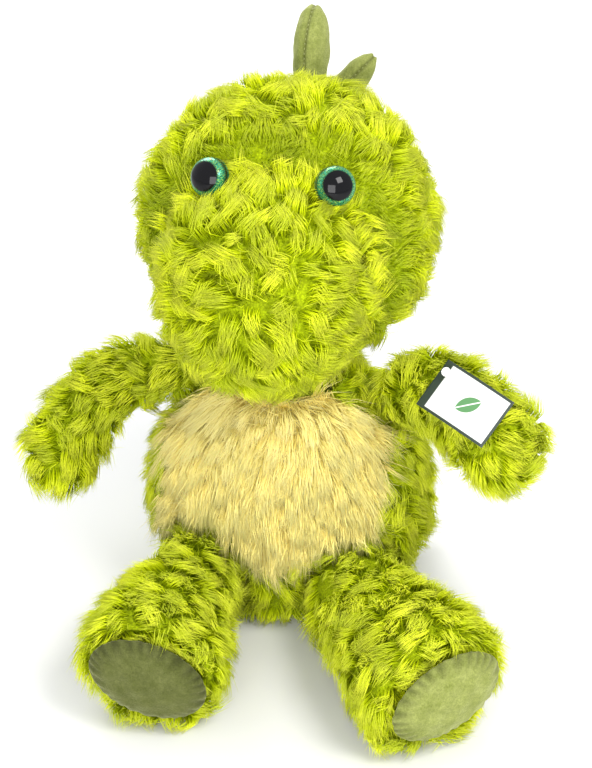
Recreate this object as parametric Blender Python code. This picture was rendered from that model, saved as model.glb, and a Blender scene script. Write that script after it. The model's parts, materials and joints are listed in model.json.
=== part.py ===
"""A stuffed toy dinosaur that sits up by itself. Each sewn cover, wad of filling and fastener is its own solid.

The toy faces -Y, its left side is at +X, and +Z is up. The origin is the middle of the flat seat under the body.
Lengths are in metres. Each moving group hangs from an empty that stands on its joint.
"""

import math

import bmesh
import bpy
from mathutils import Matrix, Vector

# ---- driving dimensions -------------------------------------------------------------------------

GAP = 0.0004  # left between pieces that touch
RUN = 0.0012  # left around a piece that turns in its seat
LIMB_RUN = 0.0028  # left around a limb's root, for the limb to swing
FUR = 0.0065  # fur cloth, backing and pile together
VELOUR = 0.0022  # short-pile cloth of the soles and spikes

BODY_HEIGHT = 0.126
BODY_RADIUS = 0.075  # at the widest, seen from the front
BODY_DEPTH = 0.86  # front-to-back size as a share of the width
BODY_WIDEST_Z = 0.050
SEAT_RADIUS = 0.044
COLLAR_RADIUS = 0.030  # flat top of the body, around the neck

HEAD_CENTRE = Vector((0, -0.004, 0.2000))
HEAD_RADII = (0.073, 0.069, 0.071)
MUZZLE_CENTRE = Vector((-0.001, -0.056, 0.1925))
MUZZLE_RADII = (0.0515, 0.054, 0.053)
NECK = Vector((0, -0.002, 0.124))
NECK_BALL = 0.023
NECK_SHAFT = 0.017
NECK_TOP_Z = 0.166
HEAD_TURN = math.radians(3.5)  # at rest the head looks a little to the toy's left

BELLY_CENTRE = Vector((-0.002, 0, 0.072))
BELLY_HALF_WIDTH = 0.059
BELLY_HALF_HEIGHT = 0.046

ARM_RADIUS = 0.0180
LEG_RADIUS = 0.0270
SOLE_HALF_LENGTH, SOLE_HALF_WIDTH = 0.0285, 0.0205
FOOT_TOE_TILT = math.radians(25)  # the toes point outwards, this far above level

TAIL_ROOT = Vector((0, 0.060, 0.0310))
TAIL_TIP = Vector((0, 0.118, 0.0200))
TAIL_RADIUS = 0.026

EYE_RADIUS = 0.0092
EYE_DOME = 0.0062  # how far the clear dome stands out
EYE_HALF_SPACING = 0.0290
EYE_AT = Vector((0.0015, -0.0530, 0.2415))  # midway between the eyes

POUCH_CENTRE = Vector((0, -0.002, 0))
POUCH_RADIUS = 0.032
POUCH_HEIGHT = 0.022

ROUND = 24  # sides of the large turned shapes
LIMB = 18  # sides of a limb
SMALL = 12  # sides of the small ones

# name, host, place on the host (degrees back from the top of the head, height on the body in metres, or
# share of the tail's length), lean back from upright, height, half length, half width, flop at rest
SPIKES = (
    ("spike_1_crown", "head", 50, 30, 0.039, 0.0135, 0.0092, 0),
    ("spike_2_crown", "head", 74, 30, 0.048, 0.0135, 0.0078, 64),
    ("spike_3_nape", "body", 0.102, 66, 0.031, 0.0130, 0.0080, 0),
    ("spike_4_back", "body", 0.070, 84, 0.027, 0.0115, 0.0072, 0),
    ("spike_5_tail", "tail", 0.46, 24, 0.021, 0.0105, 0.0068, 0),
)

SPIKE_LIFT = 0.0042  # how far a spike's hinge line stands off the cloth
SPIKE_ROOT = 0.0060  # radius of its rounded root

TAG_SHARE = 0.80  # the card's middle, as a share of the arm's length
TAG_TURN = 42  # degrees from the top of the arm round to its front
TAG_DROOP = 14  # degrees that the card hangs off the arm's own direction
TAG_LENGTH, TAG_WIDTH, TAG_THICKNESS = 0.0385, 0.0240, 0.0006
TAG_MARGIN = 0.0045  # from the pin to the card's edges

COLOURS = {
    "fur": ((0.43, 0.54, 0.01), 0.95),
    "belly": ((0.80, 0.66, 0.20), 0.95),
    "velour": ((0.40, 0.44, 0.12), 0.90),
    "filling": ((0.86, 0.86, 0.84), 1.00),
    "pouch": ((0.70, 0.70, 0.66), 0.90),
    "pellets": ((0.90, 0.90, 0.88), 0.45),
    "lens": ((0.03, 0.03, 0.05), 0.06),
    "iris": ((0.05, 0.42, 0.20), 0.30),
    "nylon": ((0.80, 0.80, 0.82), 0.35),
    "card": ((0.82, 0.82, 0.80), 0.50),
    "label": ((0.90, 0.90, 0.92), 0.60),
}


# ---- helpers ------------------------------------------------------------------------------------


def clear_scene():
    for obj in list(bpy.data.objects):
        bpy.data.objects.remove(obj)


def material(kind):
    """The Principled material of one kind of cloth, filling or plastic."""
    found = bpy.data.materials.get(kind)
    if found:
        return found
    colour, roughness = COLOURS[kind]
    made = bpy.data.materials.new(kind)
    made.use_nodes = True
    shader = made.node_tree.nodes["Principled BSDF"]
    shader.inputs["Base Color"].default_value = (*colour, 1)
    shader.inputs["Roughness"].default_value = roughness
    shader.inputs["Metallic"].default_value = 0
    made.diffuse_color = (*colour, 1)
    return made


def empty(name, place, parent=None):
    """A joint's empty, at that place in the world."""
    obj = bpy.data.objects.new(name, None)
    bpy.context.scene.collection.objects.link(obj)
    obj.parent = parent
    obj.location = place - world_place(parent)
    return obj


def world_place(obj):
    place = Vector()
    while obj is not None:
        place += obj.location
        obj = obj.parent
    return place


def add_object(name, mesh_or_bmesh, kind=None, parent=None):
    """Links a mesh built in world space, and hangs it from a joint's empty without moving it."""
    mesh = bpy.data.meshes.new(name)
    mesh_or_bmesh.to_mesh(mesh)
    mesh_or_bmesh.free()
    obj = bpy.data.objects.new(name, mesh)
    bpy.context.scene.collection.objects.link(obj)
    mesh.transform(Matrix.Translation(-world_place(parent)))
    obj.parent = parent
    mesh.shade_smooth()
    mesh.set_sharp_from_angle(angle=math.radians(40))
    if kind:
        mesh.materials.append(material(kind))
    return obj


def cutter(name, built, parent=None):
    """A helper that only shapes other pieces."""
    obj = add_object(name, built, None, parent)
    obj.hide_render = True
    obj.display_type = "WIRE"
    return obj


def boolean(obj, other, operation="DIFFERENCE"):
    modifier = obj.modifiers.new(f"{operation.lower()}_{other.name}", "BOOLEAN")
    modifier.operation = operation
    modifier.object = other
    modifier.solver = "EXACT"


def cut(obj, *others):
    for other in others:
        boolean(obj, other)


def ring(centre, across, up, half_across, half_up, sides):
    """Points of an ellipse around centre."""
    turns = [2 * math.pi * i / sides for i in range(sides)]
    return [centre + across * (half_across * math.cos(t)) + up * (half_up * math.sin(t)) for t in turns]


def skin_rings(rings, first=None, last=None):
    """A closed surface through rings of points. Each end is a point, or a flat face where none is given."""
    built = bmesh.new()
    loops = [[built.verts.new(p) for p in points] for points in rings]
    sides = len(loops[0])
    for near, far in zip(loops, loops[1:]):
        for i in range(sides):
            j = (i + 1) % sides
            built.faces.new((near[i], near[j], far[j], far[i]))
    for loop, point in ((loops[0], first), (loops[-1], last)):
        if point is None:
            built.faces.new(loop)
            continue
        pole = built.verts.new(point)
        for i in range(sides):
            built.faces.new((loop[i], loop[(i + 1) % sides], pole))
    bmesh.ops.recalc_face_normals(built, faces=built.faces)
    return built


def frame_on(direction):
    """Two unit vectors square to a direction: one level, one up."""
    across = direction.cross(Vector((0, 0, 1)))
    if across.length < 1e-6:
        across = Vector((1, 0, 0))
    across.normalize()
    return across, across.cross(direction).normalized()


def ellipsoid(centre, radii, inset=0.0):
    """A ball squashed to three half-sizes."""
    built = bmesh.new()
    bmesh.ops.create_uvsphere(built, u_segments=ROUND, v_segments=ROUND // 2, radius=1)
    size = Matrix.Diagonal([r - inset for r in radii]).to_4x4()
    bmesh.ops.transform(built, matrix=Matrix.Translation(centre) @ size, verts=built.verts)
    return built


def ball(centre, radius):
    built = bmesh.new()
    bmesh.ops.create_uvsphere(built, u_segments=LIMB, v_segments=LIMB // 2, radius=radius)
    bmesh.ops.translate(built, vec=centre, verts=built.verts)
    return built


def cylinder(start, end, radius, sides=ROUND):
    direction = (end - start).normalized()
    across, up = frame_on(direction)
    return skin_rings([ring(p, across, up, radius, radius, sides) for p in (start, end)])


def turned(profile, centre=Vector(), depth=1.0, sides=ROUND):
    """A turned solid about +Z through centre, of (radius, z) from the bottom up, with flat ends."""
    across, back = Vector((1, 0, 0)), Vector((0, 1, 0))
    places = [(r, centre + Vector((0, 0, z))) for r, z in profile]
    return skin_rings([ring(p, across, back, r, r * depth, sides) for r, p in places])


# ---- body ---------------------------------------------------------------------------------------


def body_radius(z, inset=0.0):
    """Radius of the egg-shaped body at a height. It is cut flat at the seat and at the collar."""
    below = z < BODY_WIDEST_Z
    rise = BODY_WIDEST_Z if below else BODY_HEIGHT - BODY_WIDEST_Z
    end = SEAT_RADIUS if below else COLLAR_RADIUS
    reach = rise / math.sqrt(1 - (end / BODY_RADIUS) ** 2) - inset
    share = (z - BODY_WIDEST_Z) / reach
    return (BODY_RADIUS - inset) * math.sqrt(max(0.0, 1 - share * share))


def body_solid(inset=0.0, steps=12):
    bottom, top = inset, BODY_HEIGHT - inset
    heights = [bottom + (top - bottom) * (1 - math.cos(math.pi * i / steps)) / 2 for i in range(steps + 1)]
    return turned([(body_radius(z, inset), z) for z in heights], depth=BODY_DEPTH)


def belly_prism(margin, sides=40):
    """A bar along Y with the belly panel's outline: an oval, square-shouldered as a superellipse."""
    power = 2.5
    across, up = Vector((1, 0, 0)), Vector((0, 0, 1))

    def corner(value):
        return math.copysign(abs(value) ** (2 / power), value)

    def outline(y):
        turns = [2 * math.pi * (i + 0.5) / sides for i in range(sides)]
        middle = BELLY_CENTRE + Vector((0, y, 0))
        across_by, up_by = across * (BELLY_HALF_WIDTH + margin), up * (BELLY_HALF_HEIGHT + margin)
        return [middle + across_by * corner(math.cos(t)) + up_by * corner(math.sin(t)) for t in turns]

    return skin_rings([outline(-0.2), outline(-0.008)])


def pouch_solid(inset=0.0):
    """The flat pellet pouch: a disc with a rounded edge, standing just above the seat cloth."""
    half = POUCH_HEIGHT / 2 - inset
    middle = FUR + GAP + POUCH_HEIGHT / 2
    bulge = [math.radians(a) for a in (-60, -30, 0, 30, 60)]
    reach = POUCH_RADIUS - inset - half
    rise = half / math.sin(bulge[-1])
    profile = [(reach + half * math.cos(a), middle + rise * math.sin(a)) for a in bulge]
    return turned(profile, POUCH_CENTRE)


def build_body(root, sockets, neck_seat):
    """Fur cover, belly panel, filling, pellet pouch and the sewn-in label of the body."""
    inner = cutter("cut_body_inside", body_solid(FUR))
    belly_hole = cutter("cut_belly_window", belly_prism(GAP))
    belly_form = cutter("cut_belly_form", belly_prism(0.0))

    cover = add_object("body_cover", body_solid(), "fur", root)
    cut(cover, inner, belly_hole, neck_seat, *sockets)

    panel = add_object("belly_panel", body_solid(), "belly", root)
    boolean(panel, belly_form, "INTERSECT")
    cut(panel, inner, neck_seat, *sockets)

    seat_top = FUR + 2 * GAP + POUCH_HEIGHT
    seat = [(POUCH_RADIUS + GAP, -0.01), (POUCH_RADIUS + GAP, seat_top)]
    pouch_seat = cutter("cut_pouch_seat", turned(seat, POUCH_CENTRE))
    filling = add_object("body_filling", body_solid(FUR + GAP), "filling", root)
    cut(filling, pouch_seat, neck_seat, *sockets)

    wall, mouth_radius = 0.0012, 0.007
    low, high = (POUCH_CENTRE + Vector((0, 0, z)) for z in (POUCH_HEIGHT, POUCH_HEIGHT + 0.02))
    inside = cutter("cut_pouch_inside", pouch_solid(wall))
    mouth = cutter("cut_pouch_mouth", cylinder(low, high, mouth_radius, LIMB))
    pouch = add_object("pellet_pouch", pouch_solid(), "pouch", root)
    cut(pouch, inside, mouth)
    add_object("pellets", pouch_solid(wall + GAP), "pellets", root)

    build_label(root)


def build_label(root):
    """A blank satin loop sewn into the back seam, low on the left."""
    turn, z, half_width, drop = math.radians(40), 0.030, 0.009, 0.012
    outward = Vector((math.sin(turn), math.cos(turn), 0))
    along = Vector((outward.y, -outward.x, 0)) * half_width
    reach = body_radius(z) + 0.0008
    start = Vector((reach * math.sin(turn), reach * BODY_DEPTH * math.cos(turn), z))
    end = start + outward * 0.016 - Vector((0, 0, drop))
    outline = [start - along, start + along, end + along, end - along]
    thickness = Vector((0, 0, 0.0008))
    built = skin_rings([outline, [p + thickness for p in outline]])
    add_object("care_label", built, "label", root)


# ---- head ---------------------------------------------------------------------------------------


def neck_plug(clearance=0.0):
    """The wad that fills the neck: a ball in the body's collar with a thick stem up into the head."""
    radius, stem = NECK_BALL + clearance, NECK_SHAFT + clearance
    lowest = -math.pi / 2
    highest = math.acos(stem / radius)
    steps = 10
    angles = [lowest + (highest - lowest) * i / steps for i in range(1, steps + 1)]
    profile = [(radius * math.cos(a), radius * math.sin(a)) for a in angles]
    profile.append((stem, NECK_TOP_Z - NECK.z + clearance))
    across, back = Vector((1, 0, 0)), Vector((0, 1, 0))
    rings = [ring(NECK + Vector((0, 0, z)), across, back, r, r, ROUND) for r, z in profile]
    return skin_rings(rings, first=NECK - Vector((0, 0, radius)))


def eye_frame(side):
    """The eye's centre on the fur, and the way it faces. side is 1 for the left eye and -1 for the right."""
    at = EYE_AT + Vector((EYE_HALF_SPACING * side, 0, 0))
    facing = Vector((0.34 * side, -0.82, 0.42)).normalized()
    return at, facing


def build_head(head, neck_seat, root_cuts):
    """Head cover, muzzle cover and the one filling that runs through both."""
    head_inside = cutter("cut_head_inside", ellipsoid(HEAD_CENTRE, HEAD_RADII, FUR), head)
    muzzle_inside = cutter("cut_muzzle_inside", ellipsoid(MUZZLE_CENTRE, MUZZLE_RADII, FUR), head)
    muzzle_room = cutter("cut_muzzle_room", ellipsoid(MUZZLE_CENTRE, MUZZLE_RADII, -GAP), head)
    muzzle_form = cutter("join_muzzle_filling", ellipsoid(MUZZLE_CENTRE, MUZZLE_RADII, FUR + GAP), head)

    cover = add_object("head_cover", ellipsoid(HEAD_CENTRE, HEAD_RADII), "fur", head)
    cut(cover, head_inside, muzzle_room, neck_seat, *root_cuts)
    muzzle = add_object("muzzle_cover", ellipsoid(MUZZLE_CENTRE, MUZZLE_RADII), "fur", head)
    cut(muzzle, muzzle_inside, head_inside)
    filling = add_object("head_filling", ellipsoid(HEAD_CENTRE, HEAD_RADII, FUR + GAP), "filling", head)
    boolean(filling, muzzle_form, "UNION")
    cut(filling, neck_seat)

    for side, name in ((1, "left"), (-1, "right")):
        build_eye(name, side, head, cover, muzzle, filling)


def build_eye(name, side, head, cover, muzzle, filling):
    """A safety eye: domed lens, glitter disc behind it, ribbed post and the washer inside."""
    at, facing = eye_frame(side)
    across, up = frame_on(facing)
    disc_back, disc_front = -0.0036, -0.0022
    post_radius, washer_radius, washer_thickness = 0.0024, 0.0075, 0.0018
    washer_at = disc_back - 0.0085
    post_end = washer_at - washer_thickness - 0.004

    def stack(profile, sides=ROUND, last=None):
        rings = [ring(at + facing * d, across, up, r, r, sides) for r, d in profile]
        return skin_rings(rings, last=None if last is None else at + facing * last)

    dome = [math.radians(a) for a in (0, 18, 36, 54, 72)]
    dome_base = disc_front + GAP
    profile = [(EYE_RADIUS * math.cos(a), dome_base + 0.0008 + EYE_DOME * math.sin(a)) for a in dome]
    profile.insert(0, (EYE_RADIUS, dome_base))
    add_object(f"eye_lens_{name}", stack(profile, last=dome_base + 0.0008 + EYE_DOME), "lens", head)
    disc = stack([(EYE_RADIUS, disc_back + 0.0004), (EYE_RADIUS, disc_front)])
    add_object(f"eye_iris_{name}", disc, "iris", head)
    ribs = [(post_radius, disc_back), (post_radius, post_end + 0.001), (post_radius * 0.6, post_end)]
    add_object(f"eye_post_{name}", stack(ribs, SMALL), "nylon", head)
    rim = [(washer_radius, washer_at), (washer_radius, washer_at - washer_thickness)]
    washer = add_object(f"eye_washer_{name}", stack(rim), "nylon", head)

    def hole(label, radius, near, far, sides):
        return cutter(f"cut_{label}_{name}", stack([(radius, near), (radius, far)], sides), head)

    bore = hole("eye_bore", post_radius + GAP, disc_back + 0.001, post_end - 0.002, SMALL)
    pocket = hole("eye_pocket", EYE_RADIUS + GAP, disc_back, 0.02, ROUND)
    washer_room = hole("washer_room", washer_radius + GAP, 0, washer_at - washer_thickness - GAP, ROUND)
    cut(washer, bore)
    cut(cover, pocket, bore)
    cut(muzzle, pocket, bore)
    cut(filling, washer_room, bore)


# ---- limbs --------------------------------------------------------------------------------------


class Path:
    """A curve with one bend, from a joint's pivot to the end of a limb."""

    def __init__(self, start, bend, end):
        self.points = [Vector(p) for p in (start, bend, end)]

    def at(self, t):
        a, b, c = self.points
        return a * (1 - t) ** 2 + b * (2 * t * (1 - t)) + c * t**2

    def heading(self, t):
        a, b, c = self.points
        return ((b - a) * (1 - t) + (c - b) * t).normalized()


def root_dome(path, radius, inset, axes=frame_on):
    """Rings of the rounded root around the pivot, and its pole. axes(heading) gives a ring's two axes."""
    start, heading = path.at(0), path.heading(0)
    across, up = axes(heading)
    r = radius - inset
    rings = []
    for degrees in (18, 36, 54, 72):
        a = math.radians(degrees)
        wide = r * math.sin(a)
        rings.append(ring(start - heading * (r * math.cos(a)), across, up, wide, wide, LIMB))
    return rings, start - heading * r


def arm_solid(path, fullness, inset=0.0):
    """An arm: round root on its pivot, a sausage, and a fuller round paw."""
    rings, pole = root_dome(path, ARM_RADIUS, inset)
    widths = ((0.0, 1.0), (0.25, 1.08), (0.5, 1.14), (0.75, 1.19), (1.0, 1.22))
    for t, wide in widths:
        across, up = frame_on(path.heading(t))
        r = ARM_RADIUS * (1 if t == 0 else wide * fullness) - inset
        rings.append(ring(path.at(t), across, up, r, r, LIMB))
    end, heading = path.at(1), path.heading(1)
    across, up = frame_on(heading)
    for degrees in (22, 44, 66):
        a = math.radians(degrees)
        wide = r * math.cos(a)
        rings.append(ring(end + heading * (r * math.sin(a)), across, up, wide, wide, LIMB))
    return skin_rings(rings, first=pole, last=end + heading * r)


def foot_axes(side):
    """What gives the long and short axes of a foot whose toes turn out and up."""

    def axes(heading):
        across, up = frame_on(heading)
        outward = across * math.copysign(1, across.x * side)
        upward = up * math.cos(FOOT_TOE_TILT) - outward * math.sin(FOOT_TOE_TILT)
        return outward * math.cos(FOOT_TOE_TILT) + up * math.sin(FOOT_TOE_TILT), upward

    return axes


def leg_solid(path, side, fullness, inset=0.0):
    """A leg: round root on its pivot, a thick shin, and a foot that rolls in to the sole."""
    axes = foot_axes(side)
    rings, pole = root_dome(path, LEG_RADIUS, inset, axes)
    # share of the path, half length along the toes, half width across them
    stations = (
        (0.00, 0.0270, 0.0270),
        (0.22, 0.0268, 0.0266),
        (0.50, 0.0315, 0.0298),
        (0.76, 0.0358, 0.0318),
        (0.90, 0.0368, 0.0312),
        (0.97, 0.0350, 0.0280),
        (1.00, 0.0315, 0.0228),
    )
    reach = 1 - inset / (path.at(1) - path.at(0)).length
    for t, long, short in stations:
        full = 1 if t == 0 else fullness
        here = axes(path.heading(t * reach))
        rings.append(ring(path.at(t * reach), *here, long * full - inset, short * full - inset, LIMB))
    return skin_rings(rings, first=pole)


TAIL_WIDTHS = ((0.0, 1.0), (0.3, 0.92), (0.6, 0.74), (0.85, 0.52))


def tail_top(share):
    """A point on top of the tail."""
    for (t0, wide0), (t1, wide1) in zip(TAIL_WIDTHS, TAIL_WIDTHS[1:]):
        if share <= t1:
            break
    wide = wide0 + (wide1 - wide0) * (share - t0) / (t1 - t0)
    return TAIL_PATH.at(share) + frame_on(TAIL_PATH.heading(share))[1] * (TAIL_RADIUS * wide)


def tail_solid(path, inset=0.0):
    """A short blunt tail."""
    rings, pole = root_dome(path, TAIL_RADIUS, inset)
    for t, wide in TAIL_WIDTHS:
        across, up = frame_on(path.heading(t))
        r = TAIL_RADIUS * wide - inset
        rings.append(ring(path.at(t), across, up, r, r, LIMB))
    end, heading = path.at(1), path.heading(1)
    across, up = frame_on(heading)
    r = TAIL_RADIUS * 0.30 - inset * 0.6
    rings.append(ring(end - heading * inset, across, up, r, r, LIMB))
    return skin_rings(rings, first=pole, last=end + heading * (0.004 - inset))


def build_limb(name, shape, path, parent, opening_radius):
    """A limb's cover, open where it is sewn on, with its filling inside. shape(inset) makes the solid."""
    start, heading = path.at(0), path.heading(0)
    inside = cutter(f"cut_{name}_inside", shape(FUR), parent)
    seam = cutter(f"cut_{name}_seam", cylinder(start, start - heading * 0.06, opening_radius, LIMB), parent)
    cover = add_object(f"{name}_cover", shape(0.0), "fur", parent)
    cut(cover, inside, seam)
    return cover, add_object(f"{name}_filling", shape(FUR + GAP), "filling", parent)


# the arms' fullness, and their curves from the shoulder's pivot
ARM_PATHS = {
    "right": (1.0, Path((-0.0595, 0.000, 0.113), (-0.096, -0.010, 0.119), (-0.110, -0.028, 0.073))),
    "left": (1.09, Path((0.0595, -0.004, 0.118), (0.081, -0.024, 0.140), (0.112, -0.046, 0.117))),
}
LEG_PATHS = {
    "right": (-1, 1.0, Path((-0.036, -0.0565, 0.0290), (-0.036, -0.102, 0.036), (-0.031, -0.147, 0.0325))),
    "left": (1, 1.04, Path((0.046, -0.0525, 0.0290), (0.070, -0.090, 0.037), (0.103, -0.130, 0.0335))),
}
TAIL_PATH = Path(TAIL_ROOT, TAIL_ROOT.lerp(TAIL_TIP, 0.5) + Vector((0, 0, -0.003)), TAIL_TIP)


def build_leg(name, side, fullness, path, parent):
    """A leg with its velour sole on the open end of the foot."""

    def shape(inset):
        return leg_solid(path, side, fullness, inset)

    end, heading = path.at(1), path.heading(1)
    toe, instep = foot_axes(side)(heading)
    mouth_size = (SOLE_HALF_LENGTH - 0.004, SOLE_HALF_WIDTH - 0.003)
    mouth = [ring(end + heading * d, toe, instep, *mouth_size, LIMB) for d in (-FUR - 0.004, 0.01)]
    cover = build_limb(f"leg_{name}", shape, path, parent, LEG_RADIUS * 0.55)[0]
    cut(cover, cutter(f"cut_leg_{name}_mouth", skin_rings(mouth), parent))

    edge = end + heading * GAP
    domed = ((1.0, 0.0), (1.0, VELOUR * 0.6), (0.93, 0.0036), (0.78, 0.0058), (0.5, 0.0076), (0.22, 0.0084))
    rings = [
        ring(edge + heading * d, toe, instep, SOLE_HALF_LENGTH * k, SOLE_HALF_WIDTH * k, ROUND)
        for k, d in domed
    ]
    add_object(f"sole_{name}", skin_rings(rings, last=edge + heading * 0.0086), "velour", parent)


# ---- spikes -------------------------------------------------------------------------------------


def on_head(degrees):
    """A point on the head's middle line, that far back from the top, and the way down the spine there."""
    a = math.radians(degrees)
    deep, tall = HEAD_RADII[1], HEAD_RADII[2]
    point = HEAD_CENTRE + Vector((0, deep * math.sin(a), tall * math.cos(a)))
    return point, Vector((0, deep * math.cos(a), -tall * math.sin(a))).normalized()


def on_body(z):
    """A point on the back seam of the body, and the way down the spine there."""
    above, here, below = (Vector((0, body_radius(h) * BODY_DEPTH, h)) for h in (z + 0.001, z, z - 0.001))
    return here, (below - above).normalized()


def on_tail(share):
    """A point on top of the tail, and the way along the spine there."""
    before, here, after = (tail_top(t) for t in (share - 0.02, share, share + 0.02))
    return here, (after - before).normalized()


HOSTS = {"head": on_head, "body": on_body, "tail": on_tail}


class Spike:
    """A stuffed leaf. Its hinge lies along the cloth; its tip leans back, and may flop to its left."""

    def __init__(self, name, host, place, lean, height, half_long, half_wide, flop):
        self.name, self.host = name, host
        self.height, self.half_long, self.half_wide = height, half_long, half_wide
        foot, self.spine = HOSTS[host](place)
        normal = Vector((0, -self.spine.z, self.spine.y))
        self.centre = foot + normal * SPIKE_LIFT
        turn = Matrix.Rotation(math.radians(flop), 3, self.spine)
        tilt = math.radians(lean)
        self.out = turn @ Vector((0, math.sin(tilt), math.cos(tilt)))
        self.normal = turn @ normal
        self.side = turn @ Vector((1, 0, 0))

    def solid(self, inset=0.0):
        """A rounded root, then full sides that close to a blunt tip."""
        root_radius = SPIKE_ROOT - inset
        rings = []
        for degrees in (25, 50, 75):
            a = math.radians(degrees)
            wide = root_radius * math.sin(a)
            long = (self.half_long * 0.86 - inset) * (0.55 + 0.45 * math.sin(a))
            place = self.centre - self.normal * (root_radius * math.cos(a))
            rings.append(ring(place, self.spine, self.side, long, wide, SMALL))
        reach = self.height - inset
        # share of the height, of the half length and of the half width
        outline = (
            (0.00, 0.88, 0.70),
            (0.20, 0.98, 0.92),
            (0.42, 1.00, 1.00),
            (0.64, 0.88, 0.93),
            (0.82, 0.64, 0.72),
            (0.94, 0.34, 0.42),
        )
        for t, long, wide in outline:
            half_long = self.half_long * long - inset
            half_wide = max(self.half_wide * wide - inset, 0.001)
            place = self.centre + self.out * (reach * t)
            rings.append(ring(place, self.spine, self.side, half_long, half_wide, SMALL))
        root, tip = self.centre - self.normal * root_radius, self.centre + self.out * reach
        return skin_rings(rings, first=root, last=tip)

    def seat(self, parent):
        """The groove that the rounded root turns in."""
        reach = self.spine * (self.half_long * 0.9 + RUN)
        groove = cylinder(self.centre - reach, self.centre + reach, SPIKE_ROOT + RUN, LIMB)
        return cutter(f"cut_seat_{self.name}", groove, parent)

    def build(self, parent):
        """A velour cover, open at its root, with its wad inside."""
        hinge = empty(f"joint_{self.name}", self.centre, parent)
        inside = cutter(f"cut_{self.name}_inside", self.solid(VELOUR), hinge)
        opening = cylinder(self.centre, self.centre - self.normal * 0.03, SPIKE_ROOT * 0.42, SMALL)
        cover = add_object(self.name, self.solid(), "velour", hinge)
        cut(cover, inside, cutter(f"cut_{self.name}_seam", opening, hinge))
        add_object(f"{self.name}_filling", self.solid(VELOUR + GAP), "filling", hinge)


# ---- tag ----------------------------------------------------------------------------------------


def build_tag(path, arm):
    """A blank swing card over the front of the arm, and the nylon pin that holds it by one corner."""
    heading = path.heading(TAG_SHARE)
    front, up = frame_on(heading)
    turn = math.radians(TAG_TURN)
    out = up * math.cos(turn) + front * math.sin(turn)
    droop = Matrix.Rotation(math.radians(TAG_DROOP), 3, out)
    along = droop @ heading
    down = along.cross(out)
    middle = path.at(TAG_SHARE) + out * (ARM_RADIUS * 1.30 + 0.0020)
    pin_at = middle - along * (TAG_LENGTH / 2 - TAG_MARGIN) - down * (TAG_WIDTH / 2 - TAG_MARGIN)
    hinge = empty("joint_tag", pin_at, arm)

    near, far, top, bottom = -TAG_MARGIN, TAG_LENGTH - TAG_MARGIN, -TAG_MARGIN, TAG_WIDTH - TAG_MARGIN
    clip = 0.003
    corners = [
        (near + clip, top),
        (far - clip, top),
        (far, top + clip),
        (far, bottom - clip),
        (far - clip, bottom),
        (near + clip, bottom),
        (near, bottom - clip),
        (near, top + clip),
    ]
    outline = [pin_at + along * u + down * v for u, v in corners]
    card = skin_rings([[p + out * d for p in outline] for d in (0, TAG_THICKNESS)])
    tag = add_object("tag_card", card, "card", hinge)
    hole = cylinder(pin_at - out * 0.01, pin_at + out * 0.01, 0.0017, SMALL)
    cut(tag, cutter("cut_tag_hole", hole, hinge))

    thread, paddle, low, high, end = 0.0008, 0.0022, 0.0032, 0.0041, -0.0150
    profile = [(paddle, high), (paddle, low), (thread, low), (thread, end), (thread * 0.5, end - 0.001)]
    rings = [ring(pin_at + out * d, along, down, r, r, SMALL) for r, d in profile]
    add_object("tag_pin", skin_rings(rings), "nylon", arm)
    bore = cylinder(pin_at + out * (end - 0.002), pin_at + out * 0.002, thread + GAP, SMALL)
    return cutter("cut_tag_pin", bore, arm)


# ---- assembly -----------------------------------------------------------------------------------


def main():
    clear_scene()
    root = empty("body_root", Vector())
    neck = empty("joint_neck_nod", NECK, root)
    head = empty("joint_neck_turn", NECK, neck)
    head.rotation_euler.z = HEAD_TURN
    tail = empty("joint_tail", TAIL_PATH.at(0), root)
    parents = {"head": head, "body": root, "tail": tail}
    spikes = [Spike(*spec) for spec in SPIKES]
    seats = {host: [] for host in HOSTS}
    for spike in spikes:
        seats[spike.host].append(spike.seat(parents[spike.host]))

    sockets = [cutter("cut_tail_root", ball(TAIL_PATH.at(0), TAIL_RADIUS + LIMB_RUN))]
    for paths, radius in ((ARM_PATHS, ARM_RADIUS), (LEG_PATHS, LEG_RADIUS)):
        for name, spec in paths.items():
            hollow = ball(spec[-1].at(0), radius + LIMB_RUN)
            sockets.append(cutter(f"cut_socket_{name}_{len(sockets)}", hollow))

    build_head(head, cutter("cut_neck_stem", neck_plug(RUN)), seats["head"])
    build_body(root, sockets + seats["body"], cutter("cut_neck_seat", ball(NECK, NECK_BALL + RUN)))
    add_object("neck_filling", neck_plug(), "filling", neck)

    for name, (full, path) in ARM_PATHS.items():
        hinge = empty(f"joint_shoulder_{name}", path.at(0), root)

        def arm(inset):
            return arm_solid(path, full, inset)

        pieces = build_limb(f"arm_{name}", arm, path, hinge, ARM_RADIUS * 0.55)
        if name == "left":
            bore = build_tag(path, hinge)
            for piece in pieces:
                cut(piece, bore)
    for name, (side, full, path) in LEG_PATHS.items():
        build_leg(name, side, full, path, empty(f"joint_hip_{name}", path.at(0), root))

    def tail_shape(inset):
        return tail_solid(TAIL_PATH, inset)

    for piece in build_limb("tail", tail_shape, TAIL_PATH, tail, TAIL_RADIUS * 0.55):
        cut(piece, *seats["tail"])

    for spike in spikes:
        spike.build(parents[spike.host])


main()
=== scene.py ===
import json
import math

import bmesh
import bpy
import numpy as np
from bpy.props import FloatProperty, FloatVectorProperty, IntProperty, PointerProperty
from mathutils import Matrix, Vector
from mathutils.bvhtree import BVHTree
from mathutils.kdtree import KDTree

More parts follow.
